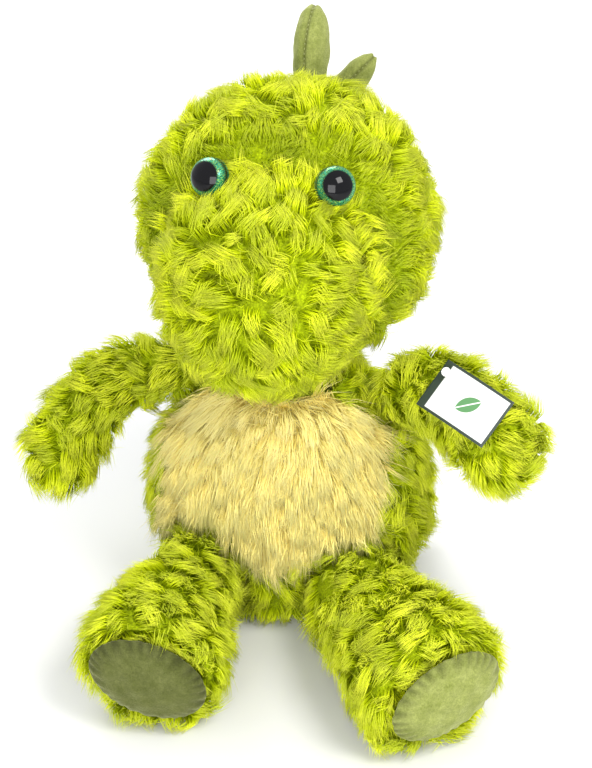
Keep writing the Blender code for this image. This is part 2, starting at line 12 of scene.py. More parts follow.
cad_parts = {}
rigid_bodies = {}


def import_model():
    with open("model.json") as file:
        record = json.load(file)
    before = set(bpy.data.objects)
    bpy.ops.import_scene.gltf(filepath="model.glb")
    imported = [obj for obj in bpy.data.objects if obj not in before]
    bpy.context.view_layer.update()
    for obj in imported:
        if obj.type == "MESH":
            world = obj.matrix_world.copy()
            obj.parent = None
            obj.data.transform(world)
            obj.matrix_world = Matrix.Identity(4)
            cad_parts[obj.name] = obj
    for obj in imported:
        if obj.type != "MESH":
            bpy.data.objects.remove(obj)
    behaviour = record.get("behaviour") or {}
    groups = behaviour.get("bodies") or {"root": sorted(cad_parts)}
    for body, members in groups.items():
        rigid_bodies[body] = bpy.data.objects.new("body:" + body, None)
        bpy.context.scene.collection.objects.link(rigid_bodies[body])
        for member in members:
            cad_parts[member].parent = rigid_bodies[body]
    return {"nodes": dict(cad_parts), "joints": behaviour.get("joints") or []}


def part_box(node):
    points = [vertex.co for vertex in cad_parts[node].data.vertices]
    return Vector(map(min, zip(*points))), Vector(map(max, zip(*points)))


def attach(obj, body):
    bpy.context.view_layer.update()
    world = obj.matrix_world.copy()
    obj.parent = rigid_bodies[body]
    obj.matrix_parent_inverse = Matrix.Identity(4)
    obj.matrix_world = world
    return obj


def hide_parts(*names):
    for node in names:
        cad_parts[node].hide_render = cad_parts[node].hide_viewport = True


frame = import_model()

bl_info = {
    "name": "Stuffed Dinosaur",
    "version": (1, 0, 0),
    "blender": (4, 5, 0),
    "location": "View3D > Sidebar > Stuffed Dinosaur",
    "description": "Sews the covers, pile, spikes, soles, eyes and tag of a stuffed dinosaur",
    "category": "Object",
}

NODES = frame["nodes"]
JOINTS = {joint["child"]: np.array(joint["pos_m"]) for joint in frame["joints"]}
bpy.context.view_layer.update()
FORM_VOXEL, SWELL_CAP, FLOOR_GAP = 0.0040, 0.0018, 0.0012
STITCH_RADIUS, CARD_THICKNESS = 0.00032, 0.0006
MOST_STRANDS = 19500
LIMB_BODIES = ("arm_left", "arm_right", "leg_left", "leg_right", "tail")
SPIKES = ("spike_1_crown", "spike_2_crown", "spike_3_nape", "spike_4_back", "spike_5_tail")
FORM_SOLIDS = {
    "head": ("head_cover", "muzzle_cover", "head_filling"),
    "torso": ("body_cover", "belly_panel", "body_filling", "pellet_pouch", "pellets"),
    "neck": ("neck_filling",),
    "arm_left": ("arm_left_cover", "arm_left_filling"),
    "arm_right": ("arm_right_cover", "arm_right_filling"),
    "leg_left": ("leg_left_cover", "leg_left_filling"),
    "leg_right": ("leg_right_cover", "leg_right_filling"),
    "tail": ("tail_cover", "tail_filling"),
}


# ---------------------------------------------------------------- settings

def size_setting(name, description, default, **limits):
    return FloatProperty(name=name, description=description, default=default, unit="LENGTH",
                         **limits)


def angle_setting(name, description, degrees):
    return FloatProperty(name=name, description=description, default=math.radians(degrees),
                         subtype="ANGLE")


def colour_setting(name, description, default):
    return FloatVectorProperty(name=name, description=description, default=default,
                               subtype="COLOR")


LEAN = "Angle at which the pile stands off the backing"
SPACING = "Distance between neighbouring tufts"
STRANDS = "Strands on each square millimetre of backing"


class CoverSettings(bpy.types.PropertyGroup):
    pile_length: size_setting("Pile length", "Length of the lime pile", 0.0122, min=0.002)
    pile_lean: angle_setting("Pile lean", LEAN, 34)
    lock_spacing: size_setting("Lock spacing", SPACING, 0.0064, min=0.001)
    density: FloatProperty(name="Density", description=STRANDS, default=0.92)
    strand_radius: size_setting("Strand radius", "Radius of a strand at its root", 0.00021)
    inset: size_setting("Backing inset", "How far the backing lies under the pile", 0.0050)
    root_colour: colour_setting("Root", "Colour at the strand's root", (0.36, 0.47, 0.002))
    middle_colour: colour_setting("Middle", "Colour halfway up the strand", (0.64, 0.73, 0.002))
    tip_colour: colour_setting("Tip", "Colour at the strand's tip", (0.88, 0.91, 0.085))


class BellySettings(bpy.types.PropertyGroup):
    pile_length: size_setting("Pile length", "Length of the cream pile", 0.0175, min=0.002)
    pile_lean: angle_setting("Pile lean", LEAN, 15)
    lock_spacing: size_setting("Lock spacing", SPACING, 0.0046, min=0.001)
    density: FloatProperty(name="Density", description=STRANDS, default=1.75)
    strand_radius: size_setting("Strand radius", "Radius of a strand at its root", 0.00017)
    root_colour: colour_setting("Root", "Colour at the strand's root", (0.96, 0.78, 0.20))
    middle_colour: colour_setting("Middle", "Colour halfway up the strand", (1.0, 0.86, 0.27))
    tip_colour: colour_setting("Tip", "Colour at the strand's tip", (1.0, 0.93, 0.44))


class VelourSettings(bpy.types.PropertyGroup):
    nap_dark: colour_setting("Nap against", "Colour of the nap brushed the wrong way",
                             (0.20, 0.235, 0.048))
    nap_light: colour_setting("Nap along", "Colour of the nap brushed smooth",
                              (0.345, 0.38, 0.112))
    seam_depth: size_setting("Seam depth", "How far a seam is drawn in", 0.0009)
    stitch_pitch: size_setting("Stitch pitch", "Distance from one stitch to the next", 0.0024)


class EyeSettings(bpy.types.PropertyGroup):
    pupil_share: FloatProperty(
        name="Pupil", description="Pupil's share of the lens radius", default=0.74,
        min=0.1, max=0.95, subtype="FACTOR")
    ring_colour: colour_setting("Ring", "Colour of the glitter ring", (0.01, 0.30, 0.16))


class TagSettings(bpy.types.PropertyGroup):
    bow: size_setting("Bow", "Height of the card's curve", 0.0012)
    mark_colour: colour_setting("Mark", "Colour of the border", (0.030, 0.045, 0.035))


class StageSettings(bpy.types.PropertyGroup):
    azimuth: angle_setting("Azimuth", "Camera's turn round the toy", 13.5)
    elevation: angle_setting("Elevation", "Camera's height above the horizon", 28)
    distance: size_setting("Distance", "Camera's distance from its aim", 1.15)
    aim: FloatVectorProperty(
        name="Aim", description="Point that the camera looks at", default=(0.003, 0.0, 0.112),
        subtype="TRANSLATION")
    lens: FloatProperty(
        name="Lens", description="Focal length in millimetres", default=110.0)
    seed: IntProperty(name="Seed", description="Start of every random choice", default=7)


# ---------------------------------------------------------------- mesh helpers

def settings(name):
    return getattr(bpy.context.scene, "stuffed_" + name)


def new_object(name, mesh, built=None):
    if built:
        built.to_mesh(mesh)
        built.free()
    piece = bpy.data.objects.new(name, mesh)
    bpy.context.scene.collection.objects.link(piece)
    return piece


def pick(piece):
    """Makes the piece the one selected and active object."""
    bpy.ops.object.select_all(action="DESELECT")
    piece.select_set(True)
    bpy.context.view_layer.objects.active = piece


def apply_modifiers(piece):
    pick(piece)
    for modifier in list(piece.modifiers):
        bpy.ops.object.modifier_apply(modifier=modifier.name)


def coords(piece, kind="co"):
    found = np.empty(len(piece.data.vertices) * 3)
    piece.data.vertices.foreach_get(kind, found)
    return found.reshape(-1, 3)


def set_coords(piece, points):
    piece.data.vertices.foreach_set("co", np.ascontiguousarray(points, np.float32).ravel())
    piece.data.update()


def unit(vectors):
    return vectors / np.maximum(np.linalg.norm(vectors, axis=-1, keepdims=True), 1e-9)


def joined_solids(name, solids):
    """One mesh of several sewn solids, their doubled corners merged."""
    built = bmesh.new()
    for solid in solids:
        built.from_mesh(NODES[solid].data)
    bmesh.ops.remove_doubles(built, verts=built.verts, dist=1e-5)
    return new_object(name, bpy.data.meshes.new(name), built)


def keep_outer_shell(piece):
    """Drops the small shells that remeshing leaves inside."""
    built = bmesh.new()
    built.from_mesh(piece.data)
    left, shells = set(built.verts), []
    while left:
        reached, edge = set(), [left.pop()]
        while edge:
            corner = edge.pop()
            reached.add(corner)
            for link in corner.link_edges:
                other = link.other_vert(corner)
                if other in left:
                    left.discard(other)
                    edge.append(other)
        shells.append(reached)
    outer = max(shells, key=len)
    bmesh.ops.delete(built, geom=[v for v in built.verts if v not in outer], context="VERTS")
    built.to_mesh(piece.data)
    built.free()


def remeshed(piece, voxel, smoothing=2):
    remesh = piece.modifiers.new("skin", "REMESH")
    remesh.mode, remesh.voxel_size = "VOXEL", voxel
    remesh.use_smooth_shade = True
    apply_modifiers(piece)
    keep_outer_shell(piece)
    eased(piece, smoothing)


def eased(piece, times):
    smooth = piece.modifiers.new("ease", "SMOOTH")
    smooth.factor, smooth.iterations = 0.5, times
    apply_modifiers(piece)


def shaded_smooth(piece):
    pick(piece)
    bpy.ops.object.shade_smooth()


def sewn(piece, body, material, replaced=()):
    """Gives a piece its finish and its body, and hides the parts that it takes the place of."""
    piece.data.materials.append(material)
    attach(piece, body)
    if replaced:
        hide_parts(*replaced)


def plumped(piece):
    """Swells the fabric with the filling's pressure, no point by more than the cap."""
    start = coords(piece)
    cloth = piece.modifiers.new("stuffing", "CLOTH")
    cloth.settings.quality = 4
    cloth.settings.mass = 0.25
    cloth.settings.use_pressure = True
    cloth.settings.uniform_pressure_force = 4.0
    cloth.settings.effector_weights.gravity = 0
    cloth.collision_settings.use_collision = False
    scene = bpy.context.scene
    for step in range(1, 21):
        scene.frame_set(step)
    held = piece.evaluated_get(bpy.context.evaluated_depsgraph_get())
    end = np.empty(len(start) * 3)
    held.data.vertices.foreach_get("co", end)
    piece.modifiers.remove(cloth)
    scene.frame_set(1)
    move = end.reshape(-1, 3) - start
    length = np.linalg.norm(move, axis=1, keepdims=True)
    set_coords(piece, start + move * np.minimum(1.0, SWELL_CAP / np.maximum(length, 1e-9)))


def faces_of(mesh):
    return [corner.co for corner in mesh.vertices], [tuple(face.vertices) for face in mesh.polygons]


def far_from(solid, points):
    """How far each point is from a solid's faces."""
    tree = BVHTree.FromPolygons(*faces_of(NODES[solid].data))
    return np.array([tree.find_nearest(Vector(point))[3] for point in points])


def frame_of(node):
    """Centre and the three principal directions of a solid, longest first."""
    mesh = NODES[node].data
    points = np.array([corner.co for corner in mesh.vertices])
    centre = points.mean(0) * 0.5 + (points.min(0) + points.max(0)) / 4
    spread = (points - points.mean(0)).T @ (points - points.mean(0))
    return centre, np.linalg.eigh(spread)[1][:, ::-1].T


# ---------------------------------------------------------------- pile

class Waves:
    """A smooth seeded vector field that turns the pile in slow swirls."""

    def __init__(self, seed, wavelength):
        source = np.random.default_rng(settings("stage").seed + seed)
        self.turns = source.normal(0, 2 * math.pi / wavelength, (7, 3, 3))
        self.phases = source.uniform(0, 2 * math.pi, (7, 3))

    def at(self, points):
        swing = np.einsum("nk,wck->nwc", points, self.turns) + self.phases
        return np.sin(swing).sum(1) / 2.6


class Backing:
    """The faces of a form, for choosing places on it."""

    def __init__(self, form):
        mesh = form.data
        mesh.calc_loop_triangles()
        self.corners = coords(form)
        self.normals = coords(form, "normal")
        faces = np.empty(len(mesh.loop_triangles) * 3, np.int32)
        mesh.loop_triangles.foreach_get("vertices", faces)
        self.faces = faces.reshape(-1, 3)
        a, b, c = (self.corners[self.faces[:, k]] for k in range(3))
        self.areas = np.linalg.norm(np.cross(b - a, c - a), axis=1) / 2

    def scatter(self, count, source):
        faces = self.faces[source.choice(len(self.areas), count, p=self.areas / self.areas.sum())]
        share = source.random((count, 2))
        share = np.where(share.sum(1, keepdims=True) > 1, 1 - share, share)
        weights = np.column_stack([1 - share.sum(1), share])[:, :, None]
        points = (self.corners[faces] * weights).sum(1)
        return points, unit((self.normals[faces] * weights).sum(1))


def spaced(points, spacing):
    """Indices of points that keep their distance from each other."""
    cells, kept = {}, []
    grid = np.floor(points / spacing).astype(int)
    near = [(x, y, z) for x in (-1, 0, 1) for y in (-1, 0, 1) for z in (-1, 0, 1)]
    limit = spacing * spacing
    for index, (cell, point) in enumerate(zip(map(tuple, grid), points)):
        close = any(
            ((points[other] - point) ** 2).sum() < limit
            for step in near
            for other in cells.get((cell[0] + step[0], cell[1] + step[1], cell[2] + step[2]), ())
        )
        if not close:
            cells.setdefault(cell, []).append(index)
            kept.append(index)
    return np.array(kept)


def strand_mesh(name, roots, middles, tips, radius, shade, source):
    """Closed, pointed, three-sided strands with their length and lock on the map named pile."""
    count = len(roots)
    phase = source.uniform(0, 2 * math.pi, count)
    rings = []
    for at, along, size in ((roots, middles - roots, 1.0), (middles, tips - roots, 0.82)):
        along = unit(along)
        side = unit(np.cross(along, np.array([0.31, 0.83, 0.46])))
        up = np.cross(along, side)
        for step in range(3):
            turn = phase + step * 2 * math.pi / 3
            out = side * np.cos(turn)[:, None] + up * np.sin(turn)[:, None]
            rings.append(at + out * (radius * size)[:, None])
    points = np.stack(rings + [tips], 1)
    pattern = np.array([(0, 2, 1), (0, 1, 4), (0, 4, 3), (1, 2, 5), (1, 5, 4), (2, 0, 3),
                        (2, 3, 5), (3, 4, 6), (4, 5, 6), (5, 3, 6)])
    faces = (np.arange(count)[:, None, None] * 7 + pattern).reshape(-1, 3)
    mesh = bpy.data.meshes.new(name)
    mesh.vertices.add(count * 7)
    mesh.vertices.foreach_set("co", points.astype(np.float32).ravel())
    mesh.loops.add(len(faces) * 3)
    mesh.loops.foreach_set("vertex_index", faces.astype(np.int32).ravel())
    mesh.polygons.add(len(faces))
    mesh.polygons.foreach_set("loop_start", np.arange(len(faces), dtype=np.int32) * 3)
    mesh.update(calc_edges=True)
    along = np.tile(np.array([0.03, 0.03, 0.03, 0.55, 0.55, 0.55, 0.98]), count)
    lock = np.repeat(shade, 7)
    used = faces.ravel()
    layer = mesh.uv_layers.new(name="pile")
    places = np.column_stack([along[used], lock[used]]).astype(np.float32)
    layer.data.foreach_set("uv", places.ravel())
    mesh.polygons.foreach_set("use_smooth", np.ones(len(faces), bool))
    return new_object(name, mesh)


def comb(form, pile, flow, keep, seed, curl=0.42, jitter=0.55, gather=0.50, dim=None, even=0.0):
    """Places and shapes the strands of one form, grouped in pointed locks."""
    source = np.random.default_rng(settings("stage").seed + seed)
    backing = Backing(form)
    area = backing.areas.sum() * 1e6
    places, ups = backing.scatter(int(area / (pile.lock_spacing * 1000) ** 2 * 2.6), source)
    chosen = spaced(places, pile.lock_spacing * 0.86)
    places, ups = places[chosen], ups[chosen]
    lay = flow(places, ups)
    lay = unit(lay - ups * (lay * ups).sum(1, keepdims=True))
    turn = source.normal(0, jitter, len(places))[:, None]
    lay = lay * np.cos(turn) + np.cross(ups, lay) * np.sin(turn)
    length = pile.pile_length * source.uniform(0.78, 1.24, len(places))
    lean = pile.pile_lean + source.normal(0, 0.13, len(places))
    bend = source.normal(0, curl, len(places))
    shade = source.random(len(places))

    roots, normals = backing.scatter(int(area * pile.density), source)
    size = keep(roots, normals)
    roots, normals, size = roots[size > 0.05], normals[size > 0.05], size[size > 0.05]
    tree = KDTree(len(places))
    for index, place in enumerate(places):
        tree.insert(place, index)
    tree.balance()
    lock = np.array([tree.find(root)[1] for root in roots])
    reach = length[lock] * size * source.uniform(0.72, 1.08, len(roots))
    rise = lean[lock] + source.normal(0, 0.09, len(roots))
    stray = source.random(len(roots)) < 0.05
    along = lay[lock]
    along = unit(along - normals * (along * normals).sum(1, keepdims=True))
    swing = np.where(stray, source.normal(0, 0.9, len(roots)), source.normal(0, 0.10, len(roots)))
    along = along * np.cos(swing)[:, None] + np.cross(normals, along) * np.sin(swing)[:, None]
    across = np.cross(normals, along)
    pull = np.where(stray, 0.0, (1 - gather) * np.minimum(1.0, size))[:, None]
    inward = (places[lock] - roots) * pull
    inward -= normals * (inward * normals).sum(1, keepdims=True)
    flat, tall = (reach * np.cos(rise))[:, None], (reach * np.sin(rise))[:, None]
    sway = (reach * bend[lock])[:, None]
    middles = roots + along * flat * 0.42 + normals * tall * 0.66 + inward * 0.45
    middles -= across * sway * 0.20
    tips = roots + along * flat + normals * tall + inward + across * sway * 0.55
    for points in (middles, tips):
        points[:, 2] = np.maximum(points[:, 2], 0.0011 + 0.0004 * source.random(len(points)))
    roots = roots - normals * 0.0008
    radius = pile.strand_radius * source.uniform(0.8, 1.2, len(roots))
    radius = radius * np.sqrt(np.minimum(size, 1))
    tone = 0.35 + 0.55 * even + (0.6 - 0.55 * even) * shade[lock]
    tone = tone + source.normal(0, 0.08, len(roots))
    # dim multiplies each strand's tone with painted shade and painted highlight, where the caller
    # gives it.
    if dim is not None:
        tone = tone * dim(roots)
    return roots, middles, tips, radius, np.clip(tone, 0.02, 0.98), source


def grow(name, body, flow, keep, seed, kind="cover", **habit):
    """Strand pieces that ride on one body, each small enough to stay under the face limit."""
    finish, slot = {"cover": ("lime_pile", "fur"), "belly": ("cream_pile", "belly_fur")}[kind]
    roots, middles, tips, radius, tone, source = comb(
        bpy.data.objects[f"{body}_form"], settings(kind), flow, keep, seed, **habit)
    parts = max(1, math.ceil(len(roots) / MOST_STRANDS))
    order = np.argsort(roots[:, 1] if parts > 1 else roots[:, 2], kind="stable")
    for index, chosen in enumerate(np.array_split(order, parts)):
        label = name if parts == 1 else f"{name}_{index + 1}"
        piece = strand_mesh(label, roots[chosen], middles[chosen], tips[chosen],
                            radius[chosen], tone[chosen], source)
        sewn(piece, body, pile_material(finish, settings(kind)))


# ---------------------------------------------------------------- materials

class Net:
    """The nodes of one material or group, and short ways to add and join them."""

    def __init__(self, tree, end):
        self.nodes, self.links, self.end = tree.nodes, tree.links, end

    def join(self, value, socket):
        """Links an output to a socket, or sets the socket to a constant."""
        if isinstance(value, bpy.types.NodeSocket):
            self.links.new(value, socket)
        elif hasattr(value, "__len__"):
            socket.default_value = (*value, 1.0)[:len(socket.default_value)]
        elif value is not None:
            socket.default_value = value

    def add(self, kind, *values, **features):
        """Adds a node with its features, and joins the values to its first inputs."""
        node = self.nodes.new("ShaderNode" + kind)
        for label, feature in features.items():
            setattr(node, label, feature)
        for socket, value in zip(node.inputs, values):
            self.join(value, socket)
        return node

    def feed(self, node=None, **values):
        """Joins values to named inputs of a node, or else of the shader or group output."""
        for label, value in values.items():
            self.join(value, (node or self.end).inputs[label.replace("_", " ")])
        return node

    def maths(self, operation, first, second=None):
        return self.add("Math", first, second, operation=operation).outputs[0]

    def mixed(self, share, first, second, mode="MIX"):
        node = self.add("Mix", share, data_type="RGBA", blend_type=mode)
        self.join(first, node.inputs[6])
        self.join(second, node.inputs[7])
        return node.outputs[2]

    def toned(self, colour, *shares):
        """The colour times one number, or times one each for red, green and blue."""
        tone = self.add("CombineXYZ", *(shares * 3)[:3])
        return self.mixed(1.0, colour, tone.outputs[0], "MULTIPLY")

    def noise(self, where, scale, detail=2.0, roughness=0.5):
        node = self.add("TexNoise", where)
        return self.feed(node, Scale=scale, Detail=detail, Roughness=roughness).outputs["Fac"]

    def cells(self, where, scale):
        return self.feed(self.add("TexVoronoi", where), Scale=scale).outputs

    def ranged(self, value, low, high, to_low=0.0, to_high=1.0):
        return self.add("MapRange", value, low, high, to_low, to_high).outputs[0]

    def mapped(self, name):
        """The two coordinates of a named map."""
        layer = self.add("UVMap", uv_map=name)
        return self.add("SeparateXYZ", layer.outputs["UV"]).outputs[:2]

    def bump(self, height, strength, distance):
        node = self.feed(self.add("Bump"), Strength=strength, Distance=distance, Height=height)
        self.feed(Normal=node.outputs["Normal"])

    def group(self, name, build, **values):
        """A shared group, built when it is first placed, with its values joined."""
        tree = bpy.data.node_groups.get(name) or build(name)
        return self.feed(self.add("Group", node_tree=tree), **values).outputs


def new_group(name, inputs, outputs):
    """A group with its sockets: the group, its net and what comes into it."""
    tree = bpy.data.node_groups.new(name, "ShaderNodeTree")
    for way, sockets in (("INPUT", inputs), ("OUTPUT", outputs)):
        for label, kind in sockets.items():
            tree.interface.new_socket(name=label, in_out=way, socket_type="NodeSocket" + kind)
    start, end = tree.nodes.new("NodeGroupInput"), tree.nodes.new("NodeGroupOutput")
    return tree, Net(tree, end), start.outputs


def pile_shade_group(name):
    """Colour along a strand, dark at the root and pale at the tip, varied lock by lock."""
    tree, net, given = new_group(
        name, {"Along": "Float", "Lock": "Float", "Place": "Vector", "Root": "Color",
               "Middle": "Color", "Tip": "Color"}, {"Colour": "Color", "Roughness": "Float"})
    colour = net.mixed(net.ranged(given["Along"], 0.0, 0.50), given["Root"], given["Middle"])
    colour = net.mixed(net.ranged(given["Along"], 0.45, 1.0), colour, given["Tip"])
    patch = net.ranged(net.noise(given["Place"], 42.0), 0.30, 0.70, 0.93, 1.06)
    light, red = (net.maths("MULTIPLY", net.ranged(given["Lock"], 0.0, 1.0, *span), patch)
                  for span in ((0.58, 1.12), (0.50, 1.14)))
    net.feed(Colour=net.toned(colour, red, light, light),
             Roughness=net.ranged(given["Lock"], 0.0, 1.0, 0.52, 0.72))
    return tree


def nap_group(name):
    """Short brushed nap: soft patches of light and dark, a fine grain and its height, and painted
    shade where the Seam input is high.
    """
    tree, net, given = new_group(
        name, {"Place": "Vector", "Against": "Color", "Along": "Color", "Seam": "Float"},
        {"Colour": "Color", "Roughness": "Float", "Height": "Float"})
    patch = net.noise(given["Place"], 150.0, 4.0, 0.62)
    grain = net.noise(given["Place"], 1500.0, 3.0, 0.7)
    fibre = net.noise(given["Place"], 620.0, 3.0, 0.6)
    share = net.maths("ADD", net.maths("MULTIPLY", net.ranged(patch, 0.34, 0.66), 0.6),
                      net.ranged(fibre, 0.36, 0.64, 0.0, 0.4))
    colour = net.mixed(share, given["Against"], given["Along"])
    # Painted shade: the colour falls to 0.45 of itself in a seam's groove and a sole's puckers.
    dark = net.maths("MULTIPLY", net.ranged(grain, 0.30, 0.62, 0.72, 1.08),
                     net.ranged(given["Seam"], 0.0, 1.0, 1.0, 0.45))
    net.feed(Colour=net.toned(colour, dark), Roughness=net.ranged(patch, 0.3, 0.7, 0.95, 0.78),
             Height=net.maths("ADD", net.maths("MULTIPLY", fibre, 0.6), grain))
    return tree


def blank_material(name, **constants):
    """A material, its net with the constants set, and the piece's own coordinates."""
    material = bpy.data.materials.new(name)
    material.use_nodes = True
    net = Net(material.node_tree, material.node_tree.nodes["Principled BSDF"])
    net.feed(**constants)
    return material, net, net.add("TexCoord").outputs["Object"]


def once(build):
    """Makes a material the first time that its name is asked for, and finds it after that."""
    def made(name, *values):
        return bpy.data.materials.get(name) or build(name, *values)
    return made


@once
def pile_material(name, pile):
    """Strands shaded from root to tip on the map named pile."""
    material, net, place = blank_material(name, Specular_IOR_Level=0.10)
    along, lock = net.mapped("pile")
    shade = net.group("Pile shade", pile_shade_group, Along=along, Lock=lock, Place=place,
                      Root=pile.root_colour, Middle=pile.middle_colour, Tip=pile.tip_colour)
    net.feed(Base_Color=shade["Colour"], Roughness=shade["Roughness"])
    return material


@once
def backing_material(name, colour):
    """Knitted backing that shows between the roots of the pile."""
    material, net, place = blank_material(name, Specular_IOR_Level=0.1)
    patch, knit = net.noise(place, 90.0, 3.0), net.cells(place, 900.0)["Distance"]
    shade = net.mixed(net.ranged(patch, 0.35, 0.65), [part * 0.6 for part in colour], colour)
    net.feed(Base_Color=net.toned(shade, net.ranged(knit, 0.0, 0.7, 1.1, 0.6)),
             Roughness=net.ranged(patch, 0.3, 0.7, 0.85, 0.98))
    net.bump(knit, 0.5, 0.0004)
    return material


@once
def velour_material(name, tone=0.92):
    """Short brushed cloth, with painted shade darkening it along the seams."""
    # tone scales both nap colours; a low tone makes a painted-shade copy.
    velour = settings("velour")
    material, net, place = blank_material(
        name, Sheen_Weight=0.45, Sheen_Roughness=0.4, Sheen_Tint=(0.85, 0.88, 0.45),
        Specular_IOR_Level=0.15)
    nap = net.group(
        "Velour nap", nap_group, Place=place, Against=[part * tone for part in velour.nap_dark],
        Along=[part * tone for part in velour.nap_light],
        Seam=net.add("Attribute", attribute_name="seam").outputs["Fac"])
    net.feed(Base_Color=nap["Colour"], Roughness=nap["Roughness"])
    net.bump(nap["Height"], 0.55, 0.0006)
    return material


@once
def thread_material(name):
    """Twisted olive thread."""
    material, net, place = blank_material(name, Sheen_Weight=0.2)
    twist = net.add("TexWave", place, wave_type="BANDS", bands_direction="DIAGONAL")
    twist = net.feed(twist, Scale=900.0).outputs["Fac"]
    net.feed(Base_Color=net.mixed(twist, (0.16, 0.18, 0.045), (0.34, 0.36, 0.11)),
             Roughness=net.ranged(twist, 0.0, 1.0, 0.75, 0.5))
    net.bump(twist, 0.4, 0.0002)
    return material


def eye_material(name, centre, facing, radius):
    """Black dome with a glitter ring under its rim."""
    eye = settings("eye")
    material, net, place = blank_material(
        name, Specular_IOR_Level=0.12, Coat_Roughness=0.02, Coat_IOR=1.35)
    shift = net.add("VectorMath", place, centre, operation="SUBTRACT").outputs[0]
    along = net.add("VectorMath", shift, facing, operation="DOT_PRODUCT").outputs["Value"]
    reach = net.add("VectorMath", shift, operation="LENGTH").outputs["Value"]
    squared = net.maths("SUBTRACT", net.maths("POWER", reach, 2.0), net.maths("POWER", along, 2.0))
    share = net.maths("DIVIDE", net.maths("SQRT", net.maths("MAXIMUM", squared, 0.0)), radius)
    ring = net.maths(
        "MULTIPLY", net.ranged(share, eye.pupil_share - 0.03, eye.pupil_share + 0.06),
        net.ranged(share, 1.0, 0.93))
    glint = net.add("SeparateColor", net.cells(place, 2600.0)["Color"]).outputs
    bright = net.ranged(glint[0], 0.55, 1.0)
    base = net.mixed(bright, [part * 0.35 for part in eye.ring_colour], (0.08, 0.62, 0.34))
    base = net.mixed(net.ranged(glint[1], 0.7, 0.95), base, (0.30, 0.52, 0.08))
    net.feed(Base_Color=net.mixed(ring, (0.004, 0.004, 0.005), base),
             Metallic=net.maths("MULTIPLY", ring, bright),
             Roughness=net.ranged(ring, 0.0, 1.0, 0.07, 0.30),
             Coat_Weight=net.ranged(ring, 0.0, 1.0, 0.35, 0.6))
    return material


def plain_material(name, low, high, roughness, scale, **constants):
    """A finish with fine mottling, for the small hard parts and ribbons."""
    material, net, place = blank_material(name, **constants)
    patch = net.noise(place, scale, 3.0, 0.6)
    net.feed(Base_Color=net.mixed(net.ranged(patch, 0.3, 0.7), low, high),
             Roughness=net.ranged(patch, 0.3, 0.7, roughness * 0.85, roughness * 1.15))
    net.bump(patch, 0.3, 0.0002)
    return material


def card_material():
    """White card with a dark border and a leaf mark, laid out on the card's own map."""
    material, net, place = blank_material(
        "printed_card", Specular_IOR_Level=0.5, Coat_Roughness=0.25)
    u, v = net.mapped("card")
    edges = []
    for value, width in ((u, 0.035), (v, 0.055)):
        off = net.maths("ABSOLUTE", net.maths("SUBTRACT", value, 0.5))
        edges.append(net.ranged(off, 0.5 - width, 0.5 - width + 0.006))
    border = net.maths("MAXIMUM", net.maths("MAXIMUM", *edges), net.ranged(u, 0.115, 0.105))
    across = net.maths("MULTIPLY", net.maths("SUBTRACT", u, 0.56), 1.5)
    above = net.maths("SUBTRACT", v, 0.5)
    discs = []
    for shift in (-0.11, 0.11):
        squares = [net.maths("POWER", net.maths(way, value, shift), 2.0)
                   for way, value in (("SUBTRACT", across), ("ADD", above))]
        discs.append(net.ranged(net.maths("SQRT", net.maths("ADD", *squares)), 0.30, 0.29))
    vein = net.maths("ABSOLUTE", net.maths("SUBTRACT", across, above))
    leaf = net.maths("MULTIPLY", net.maths("MULTIPLY", *discs), net.ranged(vein, 0.012, 0.020))
    fibre = net.noise(place, 1400.0, 3.0)
    card = net.mixed(net.ranged(fibre, 0.3, 0.7), (0.80, 0.81, 0.78), (0.90, 0.91, 0.88))
    card = net.mixed(leaf, card, (0.10, 0.26, 0.10))
    net.feed(Base_Color=net.mixed(border, card, settings("tag").mark_colour),
             Roughness=net.ranged(fibre, 0.3, 0.7, 0.32, 0.46))
    net.bump(fibre, 0.15, 0.0001)
    return material


# ---------------------------------------------------------------- pieces

def on_belly(points):
    """Which places on the torso's backing are cream: the panel's and those under the chin."""
    low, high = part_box("belly_panel")
    front = far_from("belly_panel", points) < far_from("body_cover", points)
    front &= points[:, 1] < 0
    aside = np.abs(points[:, 0] - (low.x + high.x) / 2)
    throat = (points[:, 2] > high.z - 0.016) & (points[:, 1] < -0.017) & (aside < 0.040)
    narrow = aside < (high.x - low.x) / 2 - 0.007
    return (front | throat) & narrow & (points[:, 2] > low.z + 0.018)


def form_piece(body):
    """The sewn backing of one body: the solids' outer skin, drawn in and plumped."""
    piece = joined_solids(f"{body}_form", FORM_SOLIDS[body])
    remeshed(piece, FORM_VOXEL)
    points, normals = coords(piece), coords(piece, "normal")
    seat = (normals[:, 2] < -0.55) & (points[:, 2] < 0.012)
    depth = np.where(seat, 0.0016, settings("cover").inset + 0.0012)
    if body == "neck":
        depth = np.full(len(points), 0.0010)
    if body == "head":
        off_muzzle, off_head = far_from("muzzle_cover", points), far_from("head_cover", points)
        depth = depth + 0.0035 * (off_head < off_muzzle) * np.clip(1.2 - off_muzzle / 0.012, 0, 1)
    set_coords(piece, points - normals * depth[:, None])
    eased(piece, 3)
    plumped(piece)
    points = coords(piece)
    points[:, 2] = np.maximum(points[:, 2], FLOOR_GAP)
    set_coords(piece, points)
    piece.modifiers.new("round", "SUBSURF").levels = 1
    piece.modifiers["round"].render_levels = 1
    apply_modifiers(piece)
    bpy.ops.object.shade_smooth()
    sewn(piece, body, backing_material("lime_backing", (0.42, 0.53, 0.004)),
         FORM_SOLIDS[body])
    if body == "torso":
        piece.data.materials.append(backing_material("cream_backing", (0.90, 0.74, 0.22)))
        middles = np.array([face.center for face in piece.data.polygons])
        for face, cream in zip(piece.data.polygons, on_belly(middles)):
            face.material_index = int(cream)


